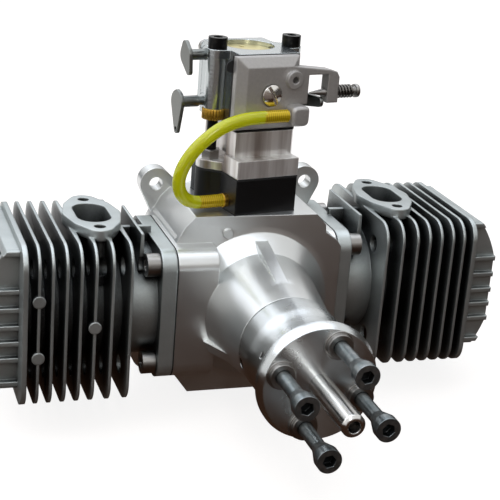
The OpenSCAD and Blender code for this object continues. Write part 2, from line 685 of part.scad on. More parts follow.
module reed_block() color([0.09, 0.09, 0.1]) carb_frame() difference() {
    slab_z(reed_z, reed_z + reed_h) flange_plan();
    slab_z(reed_z - 1, reed_z + reed_h + 1) reed_window(2.4);
    left_bolt_hole(reed_z - 1, reed_z + reed_h + 1);
    translate([block_left, barb_y, barb_z]) rotate([0, 90, 0]) cylinder(h = 4, r = 2.1, center = true);
}

// Wedge-shaped seat for the reeds, open at its sides
module reed_cage() color("dimgray") carb_frame() translate(reed_at) difference() {
    union() {
        slab_z(reed_z + reed_h - 1.5, reed_z + reed_h) round_rect(reed_w + 2.3, reed_d + 2.3, 2.4);
        slab_y(-10.5, 10.5) polygon([[-7.5, reed_z + reed_h - 1], [7.5, reed_z + reed_h - 1],
            [1.2, reed_z + 1.5], [-1.2, reed_z + 1.5]]);
    }
    slab_y(-9, 9) polygon([[-5.8, reed_z + reed_h + 1], [5.8, reed_z + reed_h + 1], [0.3, reed_z + 3.5],
        [-0.3, reed_z + 3.5]]);
    for (y = [-4.6, 4.6]) translate([0, y, 0]) slab_z(reed_z + 4, reed_z + reed_h - 2.5)
        square([20, 7.4], center = true);
}

module reed_petals() color("black") carb_frame() translate(reed_at)
    for (s = [-1, 1], y = [-4.6, 4.6]) slab_y(y - 4.2, y + 4.2)
        polygon([[s * 7.25, reed_z + reed_h - 1.6], [s * 7.55, reed_z + reed_h - 1.6],
            [s * 1.5, reed_z + 1.5], [s * 1.2, reed_z + 1.5]]);

module intake_gaskets() color("black") carb_frame() {
    for (z = [deck_z, manifold_z - gasket_t]) difference() {
        slab_z(z, z + gasket_t) flange_plan();
        slab_z(z - 1, z + 1) reed_window();
        left_bolt_hole(z - 1, z + 1);
    }
    difference() {
        slab_z(carb_z - gasket_t, carb_z) neck_plan();
        intake_passage(carb_z - 1, carb_z + 1, bore_r);
        translate([carb_pitch / 2, 0, 0]) slab_z(carb_z - 1, carb_z + 1) circle(bolt_hole_r);
    }
}

module neck_plan() {
    polygon([[-13.5, -15], [10, -15], [11.5, -13.5], [11.5, 13], [9, 16], [-9, 16], [-11.3, 13], [-11.3, -6],
        [-13.5, -8]]);
    link([carb_pitch / 2, 0], 3.7, [4, 0], 8);
}

module manifold() color("silver") carb_frame() difference() {
    union() {
        slab_z(manifold_z, manifold_z + flange_h * 0.47) flange_plan();
        slab_z(manifold_z, neck_z) polygon([[block_left, block_front], [block_right, block_front],
            [block_right, block_back], [-10, block_back], [-10, -5], [block_left, -9]]);
        slab_z(neck_z - 1, neck_z + neck_h) neck_plan();
    }
    intake_passage(manifold_z - 1, carb_z + 1, bore_r);
    slab_z(manifold_z - 1, manifold_z + 3) reed_window();
    left_bolt_hole(manifold_z - 1, neck_z + 1);
    translate([carb_pitch / 2, 0, 0]) slab_z(neck_z + 1, carb_z + 1) circle(carb_bolt_d / 2 + run);
}

module carb_body() color([0.72, 0.73, 0.75]) carb_frame() difference() {
    union() {
        slab_z(carb_z, carb_top) translate([-12.5, cover_y + 0.5]) square([25, 28.3]);
        for (s = [-1, 1]) slab_z(carb_top - 3.4, carb_top)
            link([s * carb_pitch / 2, 0], 3.8, [0, bore_y], choke_bore_r + 1.5);
        slab_z(carb_z + 5.3, carb_top - 1.3) translate([-carb_pitch / 2, 0]) circle(3.75);
        slab_z(carb_z + 5.3, carb_top - 1.3) translate([carb_pitch / 2, 0]) circle(3.75);
        slab_z(carb_z + 7, carb_top - 2) square([carb_pitch, 4], center = true);
        translate([0, bore_y, choke_z]) rod_x(-17.5, 15, 3.4);
        translate([0, bore_y, throttle_z]) rod_x(-17.5, 17, 3);
    }
    intake_passage(carb_z - 1, carb_z + 12, bore_r);
    intake_passage(carb_z + 11, carb_top - 8, bore_r - 1.7);
    translate([0, bore_y, carb_z + 12 - eps]) cylinder(h = 2.4, r1 = bore_r, r2 = bore_r - 1.7);
    translate([0, bore_y, carb_top - 13]) cylinder(h = 5, r1 = bore_r - 1.7, r2 = choke_bore_r);
    intake_passage(carb_top - 8.01, carb_top + 1, choke_bore_r);
    translate([0, bore_y, choke_z]) rod_x(-18, 16, shaft_r + run);
    translate([0, bore_y, throttle_z]) rod_x(-18, 18, throttle_shaft_r + run);
    carb_bolt_places() slab_z(carb_z - 1, carb_top + 1) circle(carb_bolt_d / 2 + run);
    for (z = [11, 17]) translate([0, -7, carb_z + z]) rod_x(5.5, 13, 1.3 + run);
    translate([-carb_pitch / 2, 0, carb_z + 1.2]) cylinder(h = 4.1, r = 4.4);
}

// Front view of the pump cover: main plate and the arm that carries the idle screw
module cover_front(inset = 0) {
    z0 = carb_z + 0.3 + inset;
    z1 = carb_top - 0.3 - inset;
    translate([cover_left + inset, z0]) square([cover_right - cover_left - 2 * inset, z1 - z0]);
}

module pump_cover() color([0.78, 0.78, 0.77]) carb_frame() difference() {
    union() {
        hull() {
            slab_y(cover_y - cover_t / 2, cover_y) cover_front();
            slab_y(cover_face, cover_y - cover_t / 2) cover_front(3.6);
        }
        translate([elbow_x, 0, elbow_z]) rod_y(cover_face, cover_y, 3.4);
        slab_y(cover_face, cover_y) difference() {
            polygon([[7, idle_z + 10.6], [arm_x - 4, idle_z + 8.8], [arm_x - 1.2, idle_z + 8],
                [arm_x, idle_z + 6], [arm_x, idle_z - 3.6], [7, idle_z - 3.6]]);
            translate([14, idle_z - 4]) square([8.6, 11.2]);
        }
        translate([vent[0], 0, vent[1]]) rod_y(cover_face - 1.8, cover_y - 3, 3.3);
    }
    translate([vent[0], 0, vent[1]]) rod_y(cover_face - 3, cover_y - 2, 1.3);
    translate([cover_screw[0], 0, cover_screw[1]]) {
        rod_y(cover_face - 1, cover_y + 1, 2.1);
        rod_y(cover_face - 1, cover_face + 0.9, 4.3);
    }
    translate([elbow_x, 0, elbow_z]) rod_y(cover_face - 1, cover_y - 1, 1.8);
    translate([0, idle_y, idle_z]) rod_x(20, arm_x + 1, 1.6 + run);
}

module pump_cover_gasket() color("black") carb_frame() difference() {
    slab_y(cover_y, cover_y + gasket_t) union() {
        cover_front(-0.2);
        translate([cover_left - 0.6, carb_top - 4.2]) circle(2.2);
    }
    translate([cover_screw[0], 0, cover_screw[1]]) rod_y(cover_y - 1, cover_y + 1, 2.1);
}

module pump_cover_screw() color("whitesmoke") carb_frame()
    translate([cover_screw[0], cover_face + 0.9, cover_screw[1]]) difference() {
    union() {
        rod_y(-2, 0, 4);
        rod_y(0, 4.3, 2);
    }
    translate([0, -2, 0]) rotate([0, 35, 0]) cube([9, 1.6, 1.1], center = true);
}

module metering_places() for (sx = [-1, 1], sz = [0, 1])
    translate([sx * 10, cover_y + 33.6, sz ? carb_top - 3.5 : carb_z + 3.5]) children();

module metering_cover() color("silver") carb_frame() difference() {
    union() {
        slab_y(cover_y + 28.8, cover_y + 31.6) translate([0, (carb_z + carb_top) / 2])
            round_rect(25, carb_h - 1, 4);
        translate([0, 0, (carb_z + carb_top) / 2]) rod_y(cover_y + 29, cover_y + 34, 7.5);
    }
    translate([0, 0, (carb_z + carb_top) / 2]) rod_y(cover_y + 33, cover_y + 35, 1.1);
}

module metering_screws() color("gainsboro") carb_frame() metering_places() translate([0, -2, 0])
    rotate([-90, 0, 0]) difference() {
        cylinder(h = 1.6, r = 2.4);
        translate([0, 0, 1.4]) for (a = [0, 90]) rotate(a) cube([3, 0.7, 1], center = true);
    }

module choke_shaft() color("silver") carb_frame() translate([0, bore_y, choke_z]) difference() {
    union() {
        rod_x(-26, 14, shaft_r);
        slab_x(-26, -24.6) union() {
            link([0, 0], 3.8, [0.8, 3.4], 1.8);
            link([0, 0], 3.8, [-3, -5.4], 1.4);
        }
    }
    translate([-9.8, -3, 0.6]) cube([19.6, 6, 3]);
}

module choke_disc() color([0.85, 0.8, 0.5]) carb_frame() translate([0, bore_y, choke_z + 0.6]) difference() {
    cylinder(h = 0.9, r = choke_bore_r - 0.25);
    translate([0, 4.5, -1]) cylinder(h = 3, r = 1.2);
}

module throttle_shaft() color("silver") carb_frame() translate([0, bore_y, throttle_z]) difference() {
    union() {
        rod_x(-28.4, stop_x + 1.4, throttle_shaft_r);
        rod_x(-28, -19.6, throttle_shaft_r + 0.5);
        slab_x(-28.4, -27.1) difference() {
            union() {
                link([0, 0], 4.4, [0.4, 3.4], 1.2);
                link([0, 0], 4.4, [-0.6, -10.2], 1.4);
            }
            translate([-0.6, -9.9]) circle(0.8);
        }
        slab_x(stop_x, stop_x + 1.4) link([0, 0], 3.2, [idle_y - bore_y, stop_z - throttle_z], 1.9);
    }
    translate([-9, -3, 0.4]) cube([18, 6, 3]);
}

module throttle_disc() color([0.85, 0.75, 0.45]) carb_frame() translate([0, bore_y, throttle_z + 0.4])
    cylinder(h = 0.8, r = bore_r - 0.15);

module idle_screw() color("dimgray") carb_frame() translate([0, idle_y, idle_z]) difference() {
    union() {
        rod_x(cone_x + cone_len, spring_end + 0.1, 1.6);
        translate([cone_x, 0, 0]) rotate([0, 90, 0]) cylinder(h = cone_len, r1 = 0.3, r2 = 1.6);
        rod_x(spring_end + 0.1, spring_end + 1.5, spring_r + 0.4);
    }
    translate([spring_end + 1.4, 0, 0]) cube([1.2, 0.9, 6], center = true);
}

module idle_spring() color("dimgray") carb_frame() translate([0, idle_y, idle_z]) {
    turns = 5;
    steps = 80;
    x0 = arm_x + spring_wire / 2 + 0.1;
    x1 = spring_end - spring_wire / 2;
    coil = [for (i = [0:steps]) let (a = 360 * turns * i / steps)
        [x0 + (x1 - x0) * i / steps, spring_r * cos(a), spring_r * sin(a)]];
    sweep(coil, spring_wire / 2, 6, [1, 0, 0]);
}

module needle(z) carb_frame() translate([0, -7, carb_z + z]) difference() {
    union() {
        translate([6, 0, 0]) rotate([0, 90, 0]) cylinder(h = 3, r1 = 0.4, r2 = 1.3);
        rod_x(9, 19, 1.3);
        rod_x(16.4, 19, 2.3);
    }
    translate([19, 0, 0]) cube([1.4, 0.8, 6], center = true);
}

module mixture_needle_high() color("silver") needle(17);
module mixture_needle_low() color("silver") needle(11);

module carb_bolts() color("dimgray") carb_frame() {
    translate([-carb_pitch / 2, 0, carb_top]) cap_screw(carb_bolt_d, carb_top - manifold_z, 7, 4.2);
    translate([carb_pitch / 2, 0, carb_top]) cap_screw(carb_bolt_d, carb_top - neck_z - 1.5, 7, 4.2);
}

module carb_bolt_nut() color("silver") carb_frame()
    translate([-carb_pitch / 2, 0, manifold_z + flange_h * 0.47]) difference() {
        cylinder(h = 3.4, r = 3.6, $fn = 6);
        translate([0, 0, -1]) cylinder(h = 6, r = carb_bolt_d / 2 + run);
    }

module brass_lock_nut() color("goldenrod") carb_frame()
    translate([-carb_pitch / 2, 0, carb_z + 1.4]) difference() {
    union() {
        cylinder(h = 3.9, r = 3.9);
        for (i = [0:23]) rotate(15 * i) translate([3.9, 0, 0]) cylinder(h = 3.9, r = 0.3, $fn = 16);
    }
    translate([0, 0, -1]) cylinder(h = 6, r = carb_bolt_d / 2 + run);
}

// Barbed spigot along -x that starts at x = 0
module barb(len, root) {
    rod_x(-len, root, 1.4);
    for (i = [0:2]) translate([-len + 3.2 * i, 0, 0]) rotate([0, 90, 0])
        cylinder(h = 2, r1 = 1.4, r2 = barb_r);
}

// Banjo elbow pressed into the pump cover
module pulse_elbow() color("silver") carb_frame() translate([elbow_x, 0, elbow_z]) {
    rod_y(elbow_y, cover_y - 1.2, 1.75);
    rod_y(elbow_y - 2.2, cover_face, elbow_r);
    translate([0, elbow_y - 2.2, 0]) rotate([90, 0, 0]) cylinder(h = 0.9, r1 = elbow_r, r2 = elbow_r - 0.9);
    translate([0, elbow_y, 0]) barb(14, 0);
}

module pulse_barb() color("goldenrod") carb_frame() translate([block_left, barb_y, barb_z]) {
    barb(10, 2);
    rod_x(-1.6, 0, 2.6);
}

module pulse_tube() color([0.8, 0.85, 0.1]) carb_frame() difference() {
    sweep(tube_path, tube_d / 2, 10, [0, 1, 0]);
    ends = [tube_path[0] + [1, 0, 0], tube_path[len(tube_path) - 1] + [1, 0, 0]];
    sweep(concat([ends[0]], tube_path, [ends[1]]), tube_in, 10, [0, 1, 0]);
}

crankcase();
rear_cover();
rear_cover_gasket();
rear_cover_screws();
bearing_outer_rings();
bearing_inner_rings();
bearing_balls();
crank_seal();
crankshaft_front();
crankshaft_centre();
crankshaft_rear();
prop_hub();
hub_magnet();
stub_shaft();
prop_bolts();
prop_washers();
cylinder_left();
cylinder_right();
base_gaskets();
cylinder_bolts();
piston_left();
piston_right();
piston_rings_left();
piston_rings_right();
wrist_pin_left();
wrist_pin_right();
wrist_clips_left();
wrist_clips_right();
rod_left();
rod_right();
rod_bearings_left();
rod_bearings_right();
crank_pin_left();
crank_pin_right();
reed_block();
reed_cage();
reed_petals();
intake_gaskets();
manifold();
carb_body();
pump_cover();
pump_cover_gasket();
pump_cover_screw();
metering_cover();
metering_screws();
choke_shaft();
choke_disc();
throttle_shaft();
throttle_disc();
idle_screw();
idle_spring();
mixture_needle_high();
mixture_needle_low();
carb_bolts();
carb_bolt_nut();
brass_lock_nut();
pulse_elbow();
pulse_barb();
pulse_tube();
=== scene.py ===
"""Two-stroke flat twin for a large model aircraft: the finish of its pieces and a plain studio.

Lengths are in metres unless a name ends in _mm or _MM. The propeller faces -Y and the carburettor is on
top. Left and right are as seen from the front.
"""

import json
import math

import bmesh
import bpy
from mathutils import Matrix, Vector


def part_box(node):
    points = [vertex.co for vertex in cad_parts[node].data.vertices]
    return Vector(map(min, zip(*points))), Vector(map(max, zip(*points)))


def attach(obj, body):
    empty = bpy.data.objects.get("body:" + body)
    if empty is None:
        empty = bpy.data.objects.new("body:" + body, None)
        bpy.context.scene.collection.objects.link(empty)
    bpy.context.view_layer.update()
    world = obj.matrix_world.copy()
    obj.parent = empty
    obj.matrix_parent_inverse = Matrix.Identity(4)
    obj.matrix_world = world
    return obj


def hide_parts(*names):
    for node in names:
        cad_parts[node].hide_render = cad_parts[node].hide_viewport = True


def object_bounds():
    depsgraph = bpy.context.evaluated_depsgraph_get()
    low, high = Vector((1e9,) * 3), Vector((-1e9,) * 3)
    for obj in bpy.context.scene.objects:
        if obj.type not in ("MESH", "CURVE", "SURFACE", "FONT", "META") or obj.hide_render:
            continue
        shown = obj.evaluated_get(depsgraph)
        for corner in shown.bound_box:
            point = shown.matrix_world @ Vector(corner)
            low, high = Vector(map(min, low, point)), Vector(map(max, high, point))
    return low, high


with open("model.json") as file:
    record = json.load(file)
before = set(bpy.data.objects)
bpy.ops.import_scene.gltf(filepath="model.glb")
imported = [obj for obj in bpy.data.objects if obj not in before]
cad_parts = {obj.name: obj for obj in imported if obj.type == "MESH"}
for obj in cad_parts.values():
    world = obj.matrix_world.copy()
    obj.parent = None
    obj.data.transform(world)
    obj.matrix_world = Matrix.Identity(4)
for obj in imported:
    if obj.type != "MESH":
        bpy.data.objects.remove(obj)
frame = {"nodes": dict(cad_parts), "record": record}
solid_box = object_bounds()


# Studio
# The camera stands left of the propeller shaft and a little above it, with a long lens. One large soft
# lamp hangs overhead, with weak ones left and in front. Floor and room are white to the camera, and glowing
# sheets are set round the engine only for its metal to mirror, as painted reflections.

MM = 0.001
# The camera, solved from the propeller bolts' circle, the stub and the four lug holes
CAMERA_AT_MM = (-154.784, -478.581, 184.193)
AZIMUTH, ELEVATION, ROLL = math.radians(-19.32), math.radians(19.54), math.radians(4.66)
PHOTO_PX = 500
FOCAL_PX = 1320.875
CENTRE_PX = (252.034, 251.712)
SENSOR_MM = 36
NEAREST_MM = 10

right = Vector((math.cos(AZIMUTH), math.sin(AZIMUTH), 0))
forward = Vector((-math.sin(AZIMUTH) * math.cos(ELEVATION), math.cos(AZIMUTH) * math.cos(ELEVATION),
                  -math.sin(ELEVATION)))
upright = right.cross(forward)
rolled_right = math.cos(ROLL) * right + math.sin(ROLL) * upright
rolled_up = math.cos(ROLL) * upright - math.sin(ROLL) * right

lens = bpy.data.cameras.new("camera")
lens.sensor_width = SENSOR_MM
lens.lens = FOCAL_PX / PHOTO_PX * SENSOR_MM
lens.shift_x = (PHOTO_PX / 2 - CENTRE_PX[0]) / PHOTO_PX
lens.shift_y = (CENTRE_PX[1] - PHOTO_PX / 2) / PHOTO_PX
lens.clip_start = NEAREST_MM * MM
camera = bpy.data.objects.new("camera", lens)
turn = Matrix((rolled_right, rolled_up, -forward)).transposed().to_4x4()
camera.matrix_world = Matrix.Translation(Vector(CAMERA_AT_MM) * MM) @ turn
bpy.context.scene.collection.objects.link(camera)
bpy.context.scene.camera = camera
bpy.context.scene.view_settings.view_transform = "Standard"


def linear(hex_colour):
    """sRGB hex as the linear colour that a socket takes."""
    channels = [int(hex_colour[i:i + 2], 16) / 255 for i in (1, 3, 5)]
    return (*[c / 12.92 if c <= 0.04045 else ((c + 0.055) / 1.055) ** 2.4 for c in channels], 1)


def add(tree, kind, inputs=None, stops=(), **settings):
    """A new node of that kind, with its settings, its inputs and, on a ramp, its two stops.

    An input is a value, another node's output, or a node, which then gives its first output.
    """
    made = tree.nodes.new("ShaderNode" + kind)
    for name, value in settings.items():
        setattr(made, name, value)
    for name, value in (inputs or {}).items():
        if isinstance(value, bpy.types.Node):
            value = value.outputs[0]
        if isinstance(value, bpy.types.NodeSocket):
            tree.links.new(value, made.inputs[name])
        else:
            made.inputs[name].default_value = value
    if stops:
        for stop, (position, colour) in zip(made.color_ramp.elements, stops):
            stop.position = position
            stop.color = linear(colour)
    return made


def lamp(name, at, towards, size, watts, colour):
    """A rectangular lamp that faces a point."""
    light = bpy.data.lights.new(name, "AREA")
    light.shape = "RECTANGLE"
    light.size, light.size_y = size
    light.energy = watts
    light.color = linear(colour)[:3]
    made = bpy.data.objects.new(name, light)
    made.location = at
    made.rotation_mode = "QUATERNION"
    made.rotation_quaternion = (Vector(towards) - Vector(at)).to_track_quat("-Z", "Y")
    bpy.context.scene.collection.objects.link(made)


ENGINE_MIDDLE = (0, -0.05, 0.03)
HUB_FRONT = (0, -0.11, 0)
lamp("overhead_softbox", at=(-0.20, 0.15, 0.85), towards=ENGINE_MIDDLE, size=(1.7, 1.5), watts=11.0,
     colour="#eaf2ff")
lamp("left_fill", at=(-0.80, -0.35, 0.45), towards=ENGINE_MIDDLE, size=(0.3, 0.5), watts=0.5,
     colour="#fff8f0")
lamp("front_strip", at=(-0.20, -0.80, 0.55), towards=HUB_FRONT, size=(0.10, 0.35), watts=1.0,
     colour="#ffffff")


def shown_or_lit(tree, white, lit):
    """White to the camera, straight, mirrored or through glass, and otherwise what lights the rest."""
    ray = add(tree, "LightPath").outputs
    mirrored = add(tree, "Math", {0: ray["Is Camera Ray"], 1: ray["Is Glossy Ray"]}, operation="MAXIMUM")
    shown = add(tree, "Math", {0: mirrored, 1: ray["Is Transmission Ray"]}, operation="MAXIMUM")
    return add(tree, "MixShader", {0: shown, 1: lit, 2: white})


# The room is brownish low down and a cool white overhead
WHITE = (1, 1, 1, 1)
ROOM_LIGHT = 0.22
world = bpy.data.worlds.new("studio")
world.use_nodes = True
bpy.context.scene.world = world
room = world.node_tree
room.nodes.clear()
direction = add(room, "TexCoord").outputs["Generated"]
height = add(room, "SeparateXYZ", {"Vector": direction}).outputs["Z"]
raised = add(room, "MapRange", {"Value": height, "From Min": -1.0, "From Max": 1.0})
walls = add(room, "ValToRGB", {"Fac": raised}, stops=((0.35, "#8d8279"), (0.9, "#f2f6fb")))
surroundings = add(room, "Background", {"Color": walls, "Strength": ROOM_LIGHT})
backdrop = add(room, "Background", {"Color": WHITE, "Strength": 1.0})
add(room, "OutputWorld", {"Surface": shown_or_lit(room, backdrop, surroundings)})


def new_material(name):
    """A material, its empty tree and its object coordinates in metres."""
    made = bpy.data.materials.new(name)
    made.use_nodes = True
    made.node_tree.nodes.clear()
    return made, made.node_tree, add(made.node_tree, "TexCoord").outputs["Object"]


def plane(name, centre, size, material):
    """A flat sheet that belongs to the studio."""
    mesh = bpy.data.meshes.new(name)
    w, d = size[0] / 2, size[1] / 2
    mesh.from_pydata([(-w, -d, 0), (w, -d, 0), (w, d, 0), (-w, d, 0)], [], [(0, 1, 2, 3)])
    mesh.materials.append(material)
    made = bpy.data.objects.new(name, mesh)
    made.location = centre
    bpy.context.scene.collection.objects.link(made)
    return made


# Matt paint on board. The camera sees it lifted to white, with the engine's shadow left in it.
FLOOR_LIFT = 0.86
FLOOR_GAP_MM = 0.2
FLOOR_Z = solid_box[0].z - FLOOR_GAP_MM * MM
floor_paint, tree, _ = new_material("pale_floor_paint")
paint = add(tree, "BsdfPrincipled", {"Base Color": linear("#a59c94"), "Roughness": 0.9})
lift = add(tree, "Emission", {"Color": WHITE, "Strength": FLOOR_LIFT})
lifted = add(tree, "AddShader", {0: paint, 1: lift})
add(tree, "OutputMaterial", {"Surface": shown_or_lit(tree, lifted, paint)})
plane("floor", centre=(0, 0, FLOOR_Z), size=(8, 8), material=floor_paint)


def painted_reflection_sheet(name, centre, size, colour, turned=(0, 0, 0)):
    """A glowing sheet that only polished metal shows: a painted reflection where a photographer would set a
    flag.
    """
    reflection_material, tree, _ = new_material(name + "_painted_reflection_glow")
    # Painted reflection: the sheet glows with its own colour, and only mirror rays see it
    glow = add(tree, "Emission", {"Color": linear(colour), "Strength": 1.0})
    add(tree, "OutputMaterial", {"Surface": glow})
    made = plane(name, centre, size, reflection_material)
    made.rotation_euler = [math.radians(a) for a in turned]
    for rays in ("camera", "diffuse", "transmission", "volume_scatter", "shadow"):
        setattr(made, "visible_" + rays, False)


# Painted reflections: a glowing brown sheet lies on the floor in front, darkest close by, for the hub's face
# and the crankcase's foot to mirror. Glowing grey sheets stand in front, right and behind.
REFLECTION_SHEET_GAP_MM = 0.1
REFLECTION_SHEET_Z = FLOOR_Z + REFLECTION_SHEET_GAP_MM * MM
painted_reflection_sheet("near_painted_reflection", centre=(0.05, -0.11, REFLECTION_SHEET_Z), size=(1.6, 0.36), colour="#38261c")
painted_reflection_sheet("far_painted_reflection", centre=(0.05, -0.67, REFLECTION_SHEET_Z), size=(1.6, 0.76), colour="#726762")
painted_reflection_sheet("standing_painted_reflection", centre=(0.20, -1.03, 0.16), size=(2.0, 0.42), colour="#857b74", turned=(90, 0, 0))
painted_reflection_sheet("right_painted_reflection", centre=(0.80, -0.10, 0.16), size=(0.42, 1.8), colour="#4c4947", turned=(0, 90, 0))
painted_reflection_sheet("back_painted_reflection", centre=(0.10, 0.80, 0.06), size=(1.8, 0.22), colour="#5d6062", turned=(90, 0, 0))


# Crankcase and rear cover
# Cut from aluminium: flat faces for the cylinders and the reed block, and a nose turned to a taper. The
# cover closes the back with socket screws. Cutter marks run round the shaft, and every edge is broken.

bodies = frame["record"]["behaviour"]["bodies"]
body_of = {node: body for body, nodes in bodies.items() for node in nodes}
# Points this close become one, and faces this nearly level become one flat face
WELD_MM = 0.002
FLAT_DEG = 0.1


def as_piece(made, name, material, crease_deg=50):
    """An object of that material from a bmesh, smooth but for edges that turn more than the crease angle."""
    mesh = bpy.data.meshes.new(name)
    made.to_mesh(mesh)
    made.free()
    mesh.materials.append(material)
    mesh.shade_smooth()
    mesh.set_sharp_from_angle(angle=math.radians(crease_deg))
    piece = bpy.data.objects.new(name, mesh)
    bpy.context.scene.collection.objects.link(piece)
    return piece


def stands_for(piece, node):
    """Moves a piece with its node's body and shows it in the node's place."""
    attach(piece, body_of[node])
    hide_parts(node)


def eased(node, material, edge_mm, sharp_deg=28, shape=None):
    """Shows a solid by a copy whose sharp edges have a small round, as deburring or casting leaves them.

    Shape is a function that changes the mesh first.
    """
    made = bmesh.new()
    made.from_mesh(frame["nodes"][node].data)
    bmesh.ops.remove_doubles(made, verts=made.verts, dist=WELD_MM * MM)
    bmesh.ops.dissolve_limit(made, angle_limit=math.radians(FLAT_DEG), verts=made.verts, edges=made.edges)
    if shape:
        shape(made)
    sharp = [e for e in made.edges if e.is_manifold and e.calc_face_angle(0) > math.radians(sharp_deg)]
    bmesh.ops.bevel(made, geom=sharp, offset=edge_mm * MM, segments=2, profile=0.5, affect="EDGES",
                    clamp_overlap=True)
    piece = as_piece(made, node + "_finished", material)
    level = piece.modifiers.new("flat_faces_stay_flat", "WEIGHTED_NORMAL")
    level.keep_sharp = True
    stands_for(piece, node)


# The wave texture has ten bands in pi metres at scale 1
BAND = math.pi / 10
POLISH_PATCH_MM = 11.1
SWELL_MM = 14.3
SWELL_STRENGTH, SWELL_HIGH_MM = 0.15, 0.4
WORN_EDGE_MM = 0.5
MARK_HIGH_MM = 0.03
GLOSSIER, DULLER = -0.05, 0.08
DIMMEST = 0.9
QUARTER_TURN = 0.25


def grain(size_mm):
    """The scale of a noise whose grain has that size."""
    return 1 / (size_mm * MM)


def machined(name, colour, roughness, mark_mm, depth, axis="Y", streak=0.0, metallic=1.0):
    """Bright metal with cutter marks along one axis, edges worn round, and a polish that varies a little.

    Real marks lie 0.1 to 0.3 mm apart, too fine to show, so mark_mm draws them further apart. A streak above
    0 is for fine rings round the axis, which draw each highlight out.
    """
    made, tree, place = new_material(name)
    marks = add(tree, "TexWave", {"Vector": place, "Scale": BAND / (mark_mm * MM), "Distortion": 1.4,
                                  "Detail": 2.0, "Detail Scale": 0.4}, bands_direction=axis)
    patches = add(tree, "TexNoise", {"Vector": place, "Scale": grain(POLISH_PATCH_MM), "Detail": 3.0})
    swell = add(tree, "TexNoise", {"Vector": place, "Scale": grain(SWELL_MM), "Detail": 1.0})
    worn_edge = add(tree, "Bevel", {"Radius": WORN_EDGE_MM * MM}, samples=6)
    rolling = add(tree, "Bump", {"Height": swell, "Strength": SWELL_STRENGTH * (1 - streak),
                                 "Distance": SWELL_HIGH_MM * MM, "Normal": worn_edge})
    ridged = add(tree, "Bump", {"Height": marks.outputs["Fac"], "Strength": depth,
                                "Distance": MARK_HIGH_MM * MM, "Normal": rolling})
    gloss = add(tree, "MapRange", {"Value": patches, "To Min": roughness + GLOSSIER,
                                   "To Max": roughness + DULLER})
    tone = add(tree, "MapRange", {"Value": patches, "To Min": DIMMEST, "To Max": 1.0})
    tinted = add(tree, "VectorMath", {0: linear(colour)[:3], "Scale": tone}, operation="SCALE")
    finish = {"Base Color": tinted, "Metallic": metallic, "Roughness": gloss, "Normal": ridged}
    if streak:
        rings = add(tree, "Tangent", direction_type="RADIAL", axis=axis)
        finish |= {"Tangent": rings, "Anisotropic": streak, "Anisotropic Rotation": QUARTER_TURN}
    metal = add(tree, "BsdfPrincipled", finish)
    add(tree, "OutputMaterial", {"Surface": metal})
    return made


# Bright silver with soft, slightly drawn-out highlights. Its thin skin of oxide isn't quite metallic.
milled_aluminium = machined("milled_aluminium", "#dcdedd", roughness=0.3, mark_mm=0.9, depth=0.25,
                            streak=0.4, metallic=0.9)
eased("crankcase", milled_aluminium, edge_mm=0.35)
eased("rear_cover", milled_aluminium, edge_mm=0.3)


# Crank train
# Ground and hardened steel. The crankshaft is pressed together from shaft ends, webs and pins and runs in
# three ball bearings, and rods join it to the pistons. All of this shows only when the engine is opened.


def coat(material, *nodes):
    """Gives solids that stay as they are, by their nodes' names, the material."""
    for node in nodes:
        finish = frame["nodes"][node].data.materials
        finish.clear()
        finish.append(material)


# A clear, cool shine with close grinding marks
ground_steel = machined("ground_steel", "#d6d5d3", roughness=0.22, mark_mm=0.5, depth=0.15, streak=0.6)
coat(ground_steel, "crankshaft_front", "crankshaft_centre", "crankshaft_rear", "bearing_outer_rings",
     "bearing_inner_rings", "bearing_balls", "crank_pin_left", "crank_pin_right", "wrist_pin_left",
     "wrist_pin_right", "wrist_clips_left", "wrist_clips_right", "rod_left", "rod_right")


# Cylinders and pistons
# Each cylinder is one aluminium casting of barrel, fins and head, blasted and left matt, and its piston is
# turned from a harder alloy. The fins' edges are round from the mould.

# An even light grey with a fine tooth, with painted shade near black between the fins, and bright at their
# edges. The real blasted grain is a third of a millimetre, and is drawn coarser to show.
BLAST_GRAIN_MM = 0.77
STAIN_MM = 22.2
FIN_GAP_SHADE_MM = 20

cast_aluminium, tree, place = new_material("blasted_cast_aluminium")
blasted = add(tree, "TexNoise", {"Vector": place, "Scale": grain(BLAST_GRAIN_MM), "Detail": 3.0})
stain = add(tree, "TexNoise", {"Vector": place, "Scale": grain(STAIN_MM), "Detail": 4.0})
tone = add(tree, "ValToRGB", {"Fac": stain}, stops=((0.3, "#a6acab"), (0.7, "#c4cac9")))
# Painted shade: where neighbouring fins close in, the colour is darkened nearly to black
hollow = add(tree, "AmbientOcclusion", {"Distance": FIN_GAP_SHADE_MM * MM}, samples=8)
painted_fin_gap_shade = add(tree, "ValToRGB", {"Fac": hollow.outputs["AO"]}, stops=((0.22, "#12100f"), (0.64, "#ffffff")))
fin_gap_shaded_tone = add(tree, "VectorMath", {0: tone, 1: painted_fin_gap_shade}, operation="MULTIPLY")
round_edge = add(tree, "Bevel", {"Radius": 0.8 * MM}, samples=6)
toothed = add(tree, "Bump", {"Height": blasted, "Strength": 0.5, "Distance": 0.12 * MM, "Normal": round_edge})
casting = add(tree, "BsdfPrincipled", {"Base Color": fin_gap_shaded_tone, "Metallic": 0.8, "Roughness": 0.42,
                                       "Normal": toothed})
add(tree, "OutputMaterial", {"Surface": casting})

# Thickness of the fins and of the end ones. A rim lies further from the bore's axis than RIM_FROM_MM, and an
# edge that crosses a fin slants by less than LEVEL_MM.
FIN_MM = (1.8, 2.6)
RIM_FROM_MM = 27
DRAFT_MM = 0.4
LEVEL_MM = 0.001


